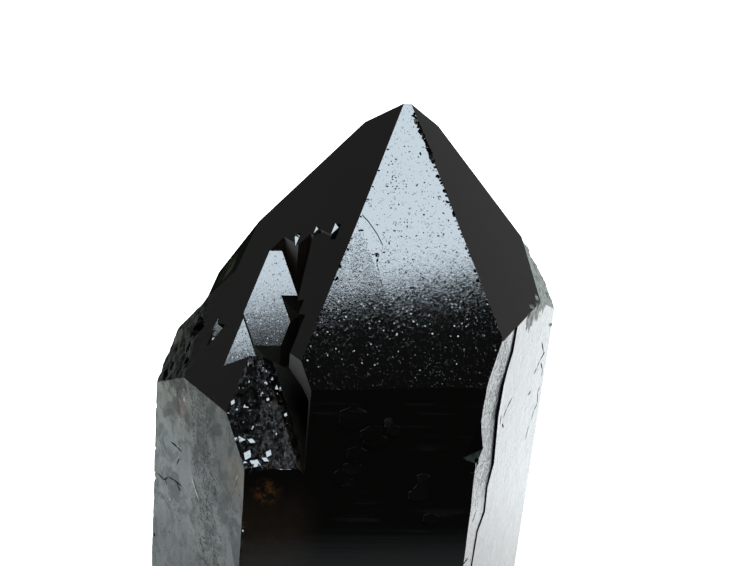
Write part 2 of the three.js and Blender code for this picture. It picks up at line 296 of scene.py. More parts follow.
def raiseHillocks(crystal):
    rise, thickness = hillocks["rise"], hillocks["thickness"]
    plates = []
    for along, z, halfWidth, halfHeight, corners, tilt in hillocks["plates"]:
        out = (frontSide + upwards * 0.5 * rise / halfHeight).normalized()
        lean = math.radians(tilt + 90)
        across = upwards.cross(frontSide)
        plates.append({
            "kind": "plate",
            "corners": corners,
            "place": onSide(frontSide, frontDistance + 0.5 * rise - thickness, along, z),
            "size": (halfWidth, halfHeight, thickness),
            "turn": turnOf(out, across * math.sin(lean) + upwards * math.cos(lean)),
        })
    combineShapes(crystal, plates, "UNION", "hillocks")


# Two slabs close the groove to the right of its black hollow: the two ends of each one's middle line,
# and half its width
grooveTop = {
    "thickness": 0.75,
    "sinking": 0.1,
    "slabs": (
        ((-9.3, -11.2, -17.3), (-12.9, -17.6, -25.4), 1.5),
        ((-10.8, -8.5, -17.4), (-12.9, -15.6, -24.0), 1.6),
    ),
}


def closeGrooveTop(crystal):
    thickness = grooveTop["thickness"]
    shapes = []
    for upper, lower, halfWidth in grooveTop["slabs"]:
        upper, lower = Vector(upper), Vector(lower)
        down = lower - upper
        shapes.append({
            "kind": "block",
            "place": (upper + lower) / 2 - leftTip * (thickness + grooveTop["sinking"]),
            "size": (halfWidth, down.length / 2, thickness),
            "turn": turnOf(leftTip, down.cross(leftTip)),
        })
    combineShapes(crystal, shapes, "UNION", "grooveTop")


# Three-cornered notches in the left tip face, with a mirror-like floor that catches the window:
# the middle of the floor's upper side, its lower corner, and half the upper side
notches = {
    "height": 1.5,
    "deeper": 0.04,
    "floors": (
        ((-8.9, -9.1, -16.05), (-9.8, -9.9, -17.1), 0.44),
        ((-11.35, -7.05, -17.15), (-12.0, -7.6, -17.9), 0.28),
        ((-13.85, -5.25, -18.85), (-14.1, -6.6, -20.0), 0.42),
        ((-23.65, -7.55, -31.4), (-25.2, -9.5, -33.9), 0.9),
    ),
}


def cutNotches(crystal):
    height = notches["height"]
    shapes = []
    for upper, lower, halfSide in notches["floors"]:
        down = Vector(lower) - Vector(upper)
        shapes.append({
            "kind": "plate",
            "corners": 3,
            "place": Vector(upper) + down / 3 + frontTip * (height - notches["deeper"]),
            "size": (halfSide / math.sin(math.radians(60)), down.length / 1.5, height),
            "turn": turnOf(frontTip, down.cross(frontTip)),
        })
    combineShapes(crystal, shapes, "DIFFERENCE", "notches")


# The crumbly end of the shorter crystal. Its left and right edges give x at each height. It is rougher
# on the left. Each bright plate has its x, its height, half its width and half its height.
crumblyEnd = {
    "seed": 3,
    "reach": (-43.6, -33.2),
    "heights": (-45.0, -43.6, -42.4, -40.5, -38.6, -36.6, -34.9, -33.4, -32.1),
    "left": (-20.0, -20.3, -21.5, -22.2, -22.8, -22.3, -20.6, -20.1, -19.6),
    "right": (-12.2, -13.2, -13.6, -14.2, -14.7, -15.2, -15.7, -16.4, -18.8),
    "crowding": 1.4,
    "calmPart": 0.5,
    "calmSize": 0.55,
    "pointCount": 210,
    "pointSize": (0.28, 0.85),
    "pointHeight": 0.55,
    "pointWobble": (0.07, 0.06),
    "plateCount": 60,
    "plateSize": (0.2, 0.55),
    "plateLength": (0.6, 1.3),
    "plateProud": 0.12,
    "plateRise": 38,
    "plateWobble": (14, 11),
    "sinking": 0.45,
    "clearOfEdges": (1.1, 1.3),
    "brightTurn": 3,
    "brightRise": 46,
    "brightSinking": 0.15,
    "brightDepth": 0.5,
    "brightGrowth": 1.3,
    "brightPlates": (
        (-21.6, -37.0, 0.2, 0.32),
        (-19.1, -40.8, 0.42, 0.24),
        (-19.5, -42.2, 0.4, 0.55),
        (-18.5, -43.0, 0.6, 0.42),
        (-16.9, -42.0, 0.3, 0.42),
        (-17.3, -42.6, 0.4, 0.2),
        (-17.2, -36.6, 0.16, 0.2),
        (-14.9, -38.1, 0.16, 0.22),
    ),
}


def growCrumblyEnd(crystal):
    end = crumblyEnd
    chance = random.Random(end["seed"])
    shapes = []
    for index in range(end["pointCount"] + end["plateCount"]):
        z = chance.uniform(*end["reach"])
        left = np.interp(z, end["heights"], end["left"])
        right = np.interp(z, end["heights"], end["right"])
        across = chance.random() ** end["crowding"]
        calm = 1.0 if across < end["calmPart"] else end["calmSize"]
        place = onFrontTip(left + across * (right - left), z, crumblyDistance)
        if index < end["pointCount"]:
            size = chance.uniform(*end["pointSize"]) * calm
            height = end["pointHeight"] * size
            lean, twist = end["pointWobble"]
            wobble = chance.gauss(0, lean), chance.gauss(0, lean), chance.gauss(0, twist)
            shape = {
                "kind": "point",
                "place": place - frontTip * end["sinking"] * size + upwards * height,
                "size": (size, size, height),
                "turn": (wobble[0], wobble[1], math.radians(30) + wobble[2]),
            }
        else:
            size = chance.uniform(*end["plateSize"]) * calm
            turnSpread, riseSpread = end["plateWobble"]
            out = away(chance.gauss(0, turnSpread), end["plateRise"] + chance.gauss(0, riseSpread))
            shape = {
                "kind": "plate",
                "corners": chance.choice((3, 4, 5)),
                "place": place - frontTip * (size - end["plateProud"]),
                "size": (size * chance.uniform(*end["plateLength"]), size, size),
                "turn": turnOf(out, away(chance.uniform(0, 360), 30)),
            }
        belowTip, insideSide = (share * size for share in end["clearOfEdges"])
        if place.dot(leftTip) < -belowTip and place.dot(leftSide) < leftDistance - insideSide:
            shapes.append(shape)
    growth = end["brightGrowth"]
    for x, z, halfWidth, halfHeight in end["brightPlates"]:
        out = away(end["brightTurn"], end["brightRise"])
        shapes.append({
            "kind": "plate",
            "corners": 4,
            "place": onFrontTip(x, z, crumblyDistance - end["brightSinking"]),
            "size": (halfWidth * growth, halfHeight * growth, end["brightDepth"]),
            "turn": turnOf(out, away(60, 0)),
        })
    combineShapes(crystal, shapes, "UNION", "crumblyPoints")


# Fine cracks and scars, cut as chains of narrow lumps. Each point is how far along the side
# and its height; on the front tip face it is x and height.
scars = {
    "left": {
        "width": 0.16,
        "depth": 0.3,
        "lines": (
            ((-13.1, -56.6), (-11.2, -55.8), (-9.3, -55.9), (-7.8, -54.7), (-6.3, -54.4), (-4.2, -54.3)),
            ((-9.0, -55.4), (-8.4, -56.3)),
            ((-5.4, -54.6), (-4.4, -55.2)),
            ((-7.5, -49.0), (-5.7, -48.9), (-4.3, -49.0)),
            ((-4.8, -50.2), (-5.6, -51.5)),
        ),
    },
    "right": {
        "width": 0.22,
        "depth": 0.34,
        "lines": (
            ((9.9, -34.5), (12.0, -36.7), (12.3, -37.6)),
            ((13.2, -37.3), (10.6, -37.7), (9.4, -38.5), (7.9, -38.9)),
            ((11.4, -38.4), (13.2, -40.1), (13.6, -41.5)),
            ((13.6, -43.1), (12.4, -43.7), (13.4, -46.0), (11.8, -46.4), (10.8, -47.7)),
            ((9.9, -48.1), (8.7, -50.1)),
            ((-3.4, -38.1), (-5.5, -38.8), (-6.9, -39.7)),
            ((-8.2, -38.7), (-8.0, -40.3)),
            ((-6.9, -40.6), (-5.9, -41.6)),
            ((6.2, -41.6), (7.7, -41.6)),
            ((-10.6, -33.0), (-12.2, -34.6)),
            ((-10.9, -36.4), (-12.4, -37.6)),
            ((-13.6, -50.6), (-15.0, -51.8)),
            ((-14.6, -57.4), (-16.6, -57.2)),
        ),
    },
    "tip": {
        "width": 0.05,
        "depth": 0.09,
        "lines": (
            ((-5.9, -14.0), (-5.2, -15.9), (-4.7, -17.6)),
            ((-4.3, -18.6), (-3.7, -20.6), (-3.3, -22.0)),
        ),
    },
}


def onFace(side, first, second):
    if side == "left":
        return onSide(leftSide, leftDistance, first, second)
    if side == "right":
        return onSide(rightSide, rightDistance, first, second)
    return onFrontTip(first, second)


scarOverlap = 0.62  # half of each lump's length, as a share of the stretch that it covers
fleckHeight = 0.12


def cutScars(crystal):
    normals = {"left": leftSide, "right": rightSide, "tip": frontTip}
    cuts = []
    for side, scar in scars.items():
        for line in scar["lines"]:
            points = [onFace(side, *point) for point in line]
            for first, second in zip(points, points[1:]):
                cuts.append({
                    "kind": "lump",
                    "place": (first + second) / 2,
                    "size": ((second - first).length * scarOverlap, scar["width"], scar["depth"]),
                    "turn": turnOf(normals[side], second - first),
                })
    combineShapes(crystal, cuts, "DIFFERENCE", "scars")


# Pale flecks and chalky scratches that stand slightly proud: side, two ends, width
flecks = (
    ("left", (-1.2, -51.4), (-0.3, -52.5), 0.07),
    ("left", (-0.3, -52.5), (1.0, -53.7), 0.06),
    ("left", (10.6, -45.0), (10.1, -45.9), 0.07),
    ("left", (10.1, -45.9), (9.8, -47.2), 0.06),
    ("left", (-7.3, -58.0), (-7.2, -58.1), 0.14),
    ("left", (-4.2, -40.8), (-4.1, -41.2), 0.13),
    ("left", (12.4, -52.0), (12.5, -52.1), 0.08),
)


def addFlecks(crystal):
    ridges = []
    for side, first, second, width in flecks:
        start, end = onFace(side, *first), onFace(side, *second)
        ridges.append({
            "kind": "lump",
            "place": (start + end) / 2,
            "size": ((end - start).length / 2 + width, width, fleckHeight),
            "turn": turnOf(leftSide, end - start),
        })
    combineShapes(crystal, ridges, "UNION", "flecks")


# Each kind of surface, and how fine its mesh is in millimetres
surfaces = {
    "black_gloss": 1.2,
    "stippled_tip": 0.45,
    "left_frosted": 0.55,
    "right_bright": 0.6,
    "crumbly": 0.4,
    "crust": 0.36,
    "broken_corner": 0.4,
    "left_shoulder": 0.8,
    "groove_brown": 0.9,
    "front_black": 0.9,
    "plate_rim": 0.6,
    "edge_chip": 0.6,
    "crack_shadow": 1.2,
    "pale_fleck": 0.4,
    "back_side": 1.0,
    "cut_foot": 0.9,
}
flatSurfaces = (
    "black_gloss", "stippled_tip", "right_bright", "left_shoulder", "groove_brown",
    "front_black", "plate_rim", "edge_chip", "crack_shadow", "cut_foot",
)
surfaceNames = list(surfaces)


def faceFacts(crystal):
    mesh = crystal.data
    centres = np.empty(len(mesh.polygons) * 3)
    normals = np.empty(len(mesh.polygons) * 3)
    mesh.polygons.foreach_get("center", centres)
    mesh.polygons.foreach_get("normal", normals)
    return centres.reshape(-1, 3) / mm - np.array(tipPoint), normals.reshape(-1, 3)


# Where some surfaces lie, as limits of x, y and z
unlimited = (-math.inf, math.inf)
regions = {
    "plates": {"x": (-10, 6), "z": (-52, -33.5)},
    "edgeChip": {"x": (6, 11.8), "y": (-math.inf, -21), "z": (-43.6, -35.8)},
    "crack": {"x": (6, math.inf), "y": (-math.inf, -12.5), "z": (-80, -26)},
    "groove": {"x": (-24, -9.5), "y": (-25.3, math.inf), "z": (-50, -17)},
    "brokenCorner": {"x": (-math.inf, -24.5), "y": (-math.inf, 4), "z": (-42, -30)},
    "crumblyEnd": {"x": (-23.6, -11.4), "y": (-math.inf, -15.2), "z": (-45.5, -31.2)},
    "rightCorner": {"x": (14, math.inf), "y": (-math.inf, 8), "z": (-35, -19)},
}

# How far from the crystal's middle a surface lies, to tell a face from the steps and cuts behind it
reaches = {
    "backSides": 19,
    "frontSide": 24.4,
    "frontPlates": 24.6,
    "rightSide": 20.2,
    "crack": (19.7, 21.2),
    "tipRelief": 0.35,
    "recessedTips": -10.05,
    "recessedRelief": 0.3,
    "leftSide": 29.0,
    "brokenCorner": 29.6,
    "crumblyFront": 24.85,
    "crumblyTip": -8.3,
    "crumblyLeft": 29.5,
    "leftTip": -0.1,
}

# The lines where surfaces end, and the waves of the crust's ragged foot
borders = {
    "footHeight": 0.4,
    "brokenCornerRight": -24,
    "shoulderRight": -15,
    "crumblyOverhang": 0.9,
    "crustLeft": 15.5,
    "crustSideLeft": 17.5,
    "crustSideBack": 8,
    "crustFoot": -28.9,
    "crustSlope": 0.16,
    "crustWaves": ((0.5, 2.1, 0), (0.35, 5.3, 1)),
    "fleckGrowth": 1.15,
    "fleckMargin": 0.03,
}


def surfaceOf(crystal):
    centres, normals = faceFacts(crystal)
    x, y, z = centres.T
    plain = surfaceNames.index("black_gloss")
    kind = np.full(len(centres), plain)

    def mark(name, mask):
        kind[mask] = surfaceNames.index(name)

    def reach(direction):
        return centres @ np.array(direction)

    def inside(region):
        mask = np.ones(len(centres), bool)
        for values, axis in ((x, "x"), (y, "y"), (z, "z")):
            low, high = regions[region].get(axis, unlimited)
            mask &= (values > low) & (values < high)
        return mask

    def faces(direction, spread=3):
        return normals @ np.array(direction) > math.cos(math.radians(spread))

    frontReach, rightReach, leftReach = reach(frontSide), reach(rightSide), reach(leftSide)
    tipReach = reach(frontTip)
    for turn in (120, 180, 240):
        side = sideDirection(turn)
        mark("back_side", faces(side, 6) & (reach(side) > reaches["backSides"]))
    mark("cut_foot", z < borders["footHeight"] - tipPoint.z)
    mark("front_black", faces(frontSide, 9) & (frontReach > reaches["frontSide"]))
    rims = inside("plates") & (frontReach > reaches["frontPlates"])
    mark("plate_rim", rims & ~faces(frontSide, 30) & ~faces(frontTip))
    mark("edge_chip", inside("edgeChip") & ~faces(frontSide, 9) & ~faces(rightSide, 9))
    mark("right_bright", faces(rightSide, 6) & (rightReach > reaches["rightSide"]))
    inner, outer = reaches["crack"]
    crack = inside("crack") & (rightReach > inner) & (rightReach < outer)
    mark("crack_shadow", crack & (kind == plain) & ~faces(rightTip) & ~faces(frontTip))
    mainTip = np.abs(tipReach) < reaches["tipRelief"]
    recessedTips = np.abs(tipReach - reaches["recessedTips"]) < reaches["recessedRelief"]
    mark("stippled_tip", faces(frontTip) & (mainTip | recessedTips))
    mark("groove_brown", inside("groove") & (kind == plain) & ~faces(leftTip) & ~faces(frontTip))
    broken = inside("brokenCorner") & (leftReach < reaches["brokenCorner"])
    mark("broken_corner", broken & ~faces(leftTip))
    mark("broken_corner", faces(leftCorner, 2) & (x < borders["brokenCornerRight"]))
    mark("left_shoulder", faces(leftShoulder) & (x < borders["shoulderRight"]))
    rightEdge = np.interp(z, crumblyEnd["heights"], crumblyEnd["right"]) + borders["crumblyOverhang"]
    crumbly = inside("crumblyEnd") & (frontReach < reaches["crumblyFront"]) & (x < rightEdge)
    onLeftTip = faces(leftTip) & (reach(leftTip) > reaches["leftTip"])
    rough = (tipReach > reaches["crumblyTip"]) & (leftReach < reaches["crumblyLeft"])
    mark("crumbly", crumbly & rough & ~onLeftTip)
    mark("stippled_tip", crumbly & faces(away(crumblyEnd["brightTurn"], crumblyEnd["brightRise"]), 4))
    corner = inside("rightCorner")
    mark("crust", corner & ~faces(rightTip) & (kind == plain) & (x > borders["crustLeft"]))
    mark("crust", corner & faces(rightCorner))
    ragged = sum(height * np.sin(rate * y + start) for height, rate, start in borders["crustWaves"])
    crustFoot = borders["crustFoot"] + borders["crustSlope"] * (x - 20) + ragged
    onSideFace = faces(rightSide, 6) & (x > borders["crustSideLeft"]) & (y < borders["crustSideBack"])
    mark("crust", onSideFace & (z > crustFoot))
    mark("left_frosted", faces(leftSide, 6) & (leftReach > reaches["leftSide"]))
    for side, first, second, width in flecks:
        start, end = np.array(onFace(side, *first)), np.array(onFace(side, *second))
        line = end - start
        share = np.clip((centres - start) @ line / (line @ line), 0, 1)
        off = np.linalg.norm(centres - start - share[:, None] * line, axis=1)
        mark("pale_fleck", off < width * borders["fleckGrowth"] + borders["fleckMargin"])
    return kind


def vertexPlaces(crystal):
    mesh = crystal.data
    places = np.empty(len(mesh.vertices) * 3)
    mesh.vertices.foreach_get("co", places)
    return places.reshape(-1, 3)


def clearSelection(mesh):
    mesh.vertices.foreach_set("select", np.zeros(len(mesh.vertices), bool))
    mesh.edges.foreach_set("select", np.zeros(len(mesh.edges), bool))
    mesh.polygons.foreach_set("select", np.zeros(len(mesh.polygons), bool))


# Long edges are split, longest first, until each surface has its own fineness
splitting = {"rounds": 17, "slack": 1.35, "coarsest": 9.0, "flatAngle": math.radians(0.5)}


def splitEvenly(crystal):
    mesh = crystal.data
    only(crystal)
    editMode()
    bpy.ops.mesh.select_all(action="SELECT")
    bpy.ops.mesh.quads_convert_to_tris(quad_method="SHORTEST_DIAGONAL", ngon_method="BEAUTY")
    objectMode()
    steps = np.array(list(surfaces.values()))
    for _ in range(splitting["rounds"]):
        places = vertexPlaces(crystal) / mm
        ends = np.empty(len(mesh.edges) * 2, int)
        mesh.edges.foreach_get("vertices", ends)
        ends = ends.reshape(-1, 2)
        lengths = np.linalg.norm(places[ends[:, 0]] - places[ends[:, 1]], axis=1)
        aim = np.full(len(ends), splitting["coarsest"])
        loopEdges = np.empty(len(mesh.loops), int)
        mesh.loops.foreach_get("edge_index", loopEdges)
        np.minimum.at(aim, loopEdges, np.repeat(steps[surfaceOf(crystal)], 3))
        excess = lengths / (aim * splitting["slack"])
        clearSelection(mesh)
        mesh.edges.foreach_set("select", (excess > 1) & (excess > 0.5 * excess.max()))
        editMode("EDGE")
        bpy.ops.mesh.subdivide(number_cuts=1, ngon=False)
        bpy.ops.mesh.select_all(action="SELECT")
        bpy.ops.mesh.quads_convert_to_tris(quad_method="SHORTEST_DIAGONAL", ngon_method="BEAUTY")
        bpy.ops.mesh.beautify_fill(angle_limit=splitting["flatAngle"])
        objectMode()
    print("surface split into", len(mesh.polygons), "faces")


reliefStart = 2 * mm  # the foot stays flat: relief starts a little above it


def weigh(crystal, name, faces, keepBorder=True, smooth=2):
    mesh = crystal.data
    corners = np.empty(len(mesh.loops), int)
    mesh.loops.foreach_get("vertex_index", corners)
    byFace = corners.reshape(-1, 3)
    chosen = np.zeros(len(mesh.vertices), bool)
    chosen[byFace[faces].ravel()] = True
    if keepBorder:
        chosen[byFace[~faces].ravel()] = False
    chosen &= vertexPlaces(crystal)[:, 2] > reliefStart
    only(crystal)
    clearSelection(mesh)
    mesh.vertices.foreach_set("select", chosen)
    group = crystal.vertex_groups.new(name=name)
    crystal.vertex_groups.active_index = group.index
    editMode("VERT")
    bpy.context.scene.tool_settings.vertex_group_weight = 1.0
    bpy.ops.object.vertex_group_assign()
    bpy.ops.object.vertex_group_smooth(group_select_mode="ACTIVE", factor=0.5, repeat=smooth)
    objectMode()


def roughen(crystal, group, grain, strength):
    texture = bpy.data.textures.new(group, "CLOUDS")
    texture.noise_scale = grain * mm
    only(crystal)
    relief = crystal.modifiers.new("relief", "DISPLACE")
    relief.texture = texture
    relief.texture_coords = "LOCAL"
    relief.vertex_group = group
    relief.strength = strength * mm
    bpy.ops.object.modifier_apply(modifier=relief.name)


# Relief of each rough surface: whether its border moves too, then the grain and the height of each layer
reliefs = {
    "left_frosted": (True, ((3.5, 0.3), (0.9, 0.12))),
    "crumbly": (True, ((0.8, 0.1),)),
    "crust": (False, ((1.4, 0.7), (0.6, 0.3))),
    "broken_corner": (True, ((1.7, 0.5), (0.6, 0.3))),
    "back_side": (False, ((6.0, 0.2), (1.5, 0.03))),
}


def addRelief(crystal, kinds):
    for name, (moveBorder, layers) in reliefs.items():
        weigh(crystal, name, kinds == surfaceNames.index(name), keepBorder=not moveBorder)
        for grain, strength in layers:
            roughen(crystal, name, grain, strength)
    crystal.vertex_groups.clear()
    print("relief added")


crystal = startCrystal()
etchTipPits(crystal)
chipEdges(crystal)
cutScars(crystal)
raiseHillocks(crystal)
closeGrooveTop(crystal)
cutNotches(crystal)
growCrumblyEnd(crystal)
addFlecks(crystal)
splitEvenly(crystal)
kinds = surfaceOf(crystal)
for index, name in enumerate(surfaceNames):
    print(name, np.sum(kinds == index))
addRelief(crystal, kinds)


# Shader maths: a wire wraps a socket, so that an expression on wires adds the nodes it needs
class Wire:
    def __init__(self, finish, socket):
        self.finish = finish
        self.socket = socket

    def maths(self, operation, first, second=0.0):
        return self.finish.node("ShaderNodeMath", {"operation": operation}, {0: first, 1: second})

    def __add__(self, other):
        return self.maths("ADD", self, other)

    def __radd__(self, other):
        return self.maths("ADD", other, self)

    def __sub__(self, other):
        return self.maths("SUBTRACT", self, other)

    def __rsub__(self, other):
        return self.maths("SUBTRACT", other, self)

    def __mul__(self, other):
        return self.maths("MULTIPLY", self, other)

    def __rmul__(self, other):
        return self.maths("MULTIPLY", other, self)

    def size(self):
        return self.maths("ABSOLUTE", self)


class Finish:
    def __init__(self, name):
        self.material = bpy.data.materials.new(name)
        self.material.use_nodes = True
        self.tree = self.material.node_tree
        self.shader = self.tree.nodes["Principled BSDF"]
        place = self.node("ShaderNodeTexCoord", output="Object")
        inMillimetres = {"Vector": place, "Location": -tipPoint, "Scale": (1 / mm,) * 3}
        self.place = self.node("ShaderNodeMapping", values=inMillimetres)

    def node(self, kind, settings=None, values=None, output=0):
        added = self.tree.nodes.new(kind)
        for key, value in (settings or {}).items():
            setattr(added, key, value)
        for key, value in (values or {}).items():
            self.set(added.inputs[key], value)
        return Wire(self, added.outputs[output])

    def set(self, socket, value):
        if isinstance(value, Wire):
            self.tree.links.new(value.socket, socket)
        elif hasattr(socket.default_value, "__len__") and len(socket.default_value) == 4:
            socket.default_value = (*value[:3], 1)
        else:
            socket.default_value = value

    def surface(self, **values):
        for key, value in values.items():
            self.set(self.shader.inputs[key.replace("_", " ")], value)
        return self.material

    def stretched(self, scale):
        return self.node("ShaderNodeVectorMath", {"operation": "MULTIPLY"}, {0: self.place, 1: scale})

    def noise(self, size, detail=2.0, roughness=0.5, at=None, warp=0.0):
        values = {"Vector": at or self.place, "Scale": 1 / size, "Distortion": warp}
        return self.node("ShaderNodeTexNoise", None, {**values, "Detail": detail, "Roughness": roughness})

    def along(self, direction):
        values = {0: self.place, 1: tuple(direction)}
        return self.node("ShaderNodeVectorMath", {"operation": "DOT_PRODUCT"}, values, "Value")

    def near(self, x, y, z):
        values = {0: self.place, 1: (x, y, z)}
        return self.node("ShaderNodeVectorMath", {"operation": "DISTANCE"}, values, "Value")

    def patch(self, name):
        middle, outer, inner = patches[name]
        return self.step(self.near(*middle), outer, inner)

    def step(self, value, low, high, fromValue=0.0, toValue=1.0):
        values = {"Value": value, 1: low, 2: high, 3: fromValue, 4: toValue}
        return self.node("ShaderNodeMapRange", {"interpolation_type": "SMOOTHSTEP"}, values)

    def blend(self, factor, first, second):
        return self.node("ShaderNodeMix", {"data_type": "RGBA"}, {0: factor, 6: first, 7: second}, 2)

    def bump(self, height, distance, normal=None):
        values = {"Height": height, "Distance": distance * mm}
        if normal is not None:
            values["Normal"] = normal
        return self.node("ShaderNodeBump", None, values)

    # One random colour for each small cell
    def cells(self, size, at=None):
        values = {"Vector": at or self.place, "Scale": 1 / size}
        return self.node("ShaderNodeTexVoronoi", None, values, "Color")

    def chance(self, colour):
        return self.node("ShaderNodeTexWhiteNoise", {"noise_dimensions": "3D"}, {"Vector": colour}, "Value")

    # The normal leans by up to half the tilt, another way in each cell
    def glint(self, colour, tilt):
        values = {0: colour, 1: (0.5, 0.5, 0.5)}
        centred = self.node("ShaderNodeVectorMath", {"operation": "SUBTRACT"}, values)
        leaned = self.node("ShaderNodeVectorMath", {"operation": "SCALE"}, {0: centred, "Scale": tilt})
        flat = self.node("ShaderNodeNewGeometry", output="Normal")
        added = self.node("ShaderNodeVectorMath", {"operation": "ADD"}, {0: flat, 1: leaned})
        return self.node("ShaderNodeVectorMath", {"operation": "NORMALIZE"}, {0: added})


quartzIor = 1.544
blackGlass = (0.0016, 0.0014, 0.0011)

# Stains, coloured patches and painted light: the middle of each, where it starts to show, and where it is
# full. The two orange glows are a painted glow, and the lit corner is a painted highlight.
patches = {
    "paintedGlowBelow": ((-16.9, -25.3, -46.6), 2.4, 0.4),
    "paintedGlowAbove": ((-16.9, -25.0, -45.6), 2.8, 0.6),
    "redStain": ((-28.1, -11.0, -42.2), 2.2, 0.3),
    "yellowEdge": ((-20.8, -23.8, -45.6), 4.0, 1.0),
    "darkCorner": ((-29.1, -9.1, -39.0), 4.6, 1.8),
    "litCorner": ((-29.4, -1.2, -36.1), 1.5, 0.9),
    "greyShoulder": ((-23.2, 3.0, -28.0), 4.5, 1.0),
}


def blackGlossFinish():
    f = Finish("black gloss")
    haze = f.noise(6.0, 3.0)
    return f.surface(
        Base_Color=f.blend(haze, blackGlass, (0.0024, 0.0023, 0.0018)),
        Roughness=f.step(haze, 0.3, 0.8, 0.05, 0.12),
        IOR=quartzIor,
        Normal=f.bump(f.noise(2.5, 3.0), 0.008),
    )


# The terrace at the left of the front tip face is duller, and the recessed tips lean to the window
def stippledTipFinish():
    f = Finish("stippled tip")
    height = f.along((0, 0, 1))
    terraceSides = f.step(f.along(leftSide), 11.3, 11.5) * f.step(f.along((1, 0, 0)), -13.4, -12.8)
    terraceEnds = f.step(height, -15.0, -16.4) * f.step(height, -23.0, -19.0)
    terrace = terraceSides * terraceEnds
    colour = f.cells(0.15)
    sparkle = f.step(f.chance(colour), 0.9, 1.0)
    dots = f.noise(0.3, 2.0, 0.55, warp=1.0) + 0.12 * terrace
    recessed = f.step(f.along(frontTip), -5.0, -6.0)
    leaned = recessed * f.step(f.along(frontTip), -10.1, -10.0)
    ripples = f.noise(0.45, 4.0, 0.65, warp=1.5) * (1.0 - 0.6 * recessed)
    fine = f.bump(ripples, 0.0047, f.glint(colour, 0.008 + 0.1 * sparkle))
    return f.surface(
        Base_Color=blackGlass,
        Roughness=0.05 + 0.04 * terrace + 0.06 * recessed,
        IOR=quartzIor,
        Normal=f.bump(height * leaned, -0.022, f.bump(f.step(dots, 0.66, 0.72), 0.03, fine)),
    )


def frontBlackFinish():
    f = Finish("front black")
    height = f.along((0, 0, 1))
    across = f.along((1, 0, 0))
    lines = f.step(f.noise(0.5, 3.0, 0.6, at=f.stretched((0.03, 0.03, 1.0))), 0.54, 0.64)
    lines = lines * f.step(f.noise(4.0, 2.0, at=f.stretched((0.5, 0.5, 1.0))), 0.5, 0.62)
    brown = f.step(height, -44.0, -52.0) * f.step(across, -9.0, -14.0) * f.noise(1.4, 4.0, 0.65)
    # painted orange glow near the foot of the front side, mixed over the black
    glow = f.patch("paintedGlowBelow") * f.step(f.noise(0.9, 4.0, 0.7), 0.42, 0.62)
    colour = f.blend(lines, blackGlass, (0.006, 0.006, 0.0055))
    colour = f.blend(brown, colour, (0.026, 0.016, 0.009))
    return f.surface(
        Base_Color=f.blend(glow, colour, (0.07, 0.028, 0.009)),
        Roughness=0.06,
        IOR=quartzIor,
        Normal=f.bump(f.noise(0.6, 2.0, at=f.stretched((0.04, 0.04, 1.0))), 0.004),
    )


def plateRimFinish():
    f = Finish("plate rim")
    return f.surface(Base_Color=(0.07, 0.07, 0.066), Roughness=0.5, IOR=quartzIor, Specular_IOR_Level=0.2)


def edgeChipFinish():
    f = Finish("edge chip")
    low = f.step(f.along((0, 0, 1)), -41.1, -41.4) * f.step(f.noise(0.8, 3.0, 0.6), 0.35, 0.6, 0.5, 1.0)
    return f.surface(
        Base_Color=f.blend(low, (0.003, 0.003, 0.003), (0.026, 0.029, 0.026)),
        Roughness=0.5,
        IOR=quartzIor,
        Specular_IOR_Level=0.0,
    )


def crackShadowFinish():
    f = Finish("crack shadow")
    return f.surface(Base_Color=(0.004, 0.004, 0.004), Roughness=0.6, IOR=quartzIor, Specular_IOR_Level=0.0)


def leftFrostedFinish():
    f = Finish("left frosted")
    height = f.along((0, 0, 1))
    across = f.along(upwards.cross(leftSide))
    cloud = f.noise(3.2, 5.0, 0.65, warp=0.6)
    band = f.step((across + 0.2 * height + 7.8).size(), 5.5, 1.0)
    upper = f.step(height, -53.0, -47.0)
    clusters = 0.16 * (f.noise(1.9, 3.0, 0.6) - 0.5)
    speckled = f.noise(0.5, 4.0, 0.75) + (0.1 + 0.04 * upper) * band + clusters
    low = f.step(height, -42.0, -49.0)
    tint = f.blend(low, (0.155, 0.174, 0.14), (0.195, 0.216, 0.208))
    tint = f.blend(f.step(height, -57.0, -66.0), tint, (0.12, 0.138, 0.135))
    shade = f.blend(low, (0.04, 0.046, 0.04), (0.095, 0.11, 0.108))
    tint = f.blend(f.step(cloud, 0.4, 0.57), shade, tint)
    tint = f.blend(0.55 * upper * f.step(across, -4.0, 1.5), tint, (0.03, 0.036, 0.038))
    tint = f.blend(f.patch("redStain") * f.noise(0.8, 3.0, 0.7), tint, (0.16, 0.07, 0.06))
    tint = f.blend(f.patch("yellowEdge") * cloud, tint, (0.19, 0.155, 0.105))
    stain = f.patch("darkCorner") * f.step(f.noise(1.0, 5.0, 0.65), 0.38, 0.56)
    tint = f.blend(stain, tint, (0.008, 0.009, 0.008))
    return f.surface(
        Base_Color=f.blend(f.step(speckled, 0.59, 0.7), tint, (0.006, 0.008, 0.009)),
        Roughness=f.step(cloud, 0.3, 0.7, 0.5, 0.34),
        IOR=quartzIor,
        Specular_IOR_Level=0.09,
        Normal=f.bump(speckled, 0.09),
    )


def rightBrightFinish():
    f = Finish("right bright")
    cloud = f.noise(3.0, 5.0, 0.6)
    height = f.along((0, 0, 1))
    across = f.along(upwards.cross(rightSide))
    strip = f.step(height, -52.0, -47.0) * f.step(across, -8.0, -10.0)
    waves = f.noise(1.6, 5.0, 0.6, warp=0.8) * (1.0 + 2.0 * strip)
    dust = f.step(f.noise(0.35, 3.0, 0.7) + 0.09 * strip, 0.62, 0.72)
    colour = f.blend(cloud, (0.03, 0.032, 0.032), (0.12, 0.125, 0.125))
    return f.surface(
        Base_Color=f.blend(dust, colour, (0.01, 0.01, 0.01)),
        Roughness=f.step(cloud, 0.3, 0.7, 0.1, 0.2),
        IOR=quartzIor,
        Normal=f.bump(dust, -0.1, f.bump(waves, 0.05)),
    )


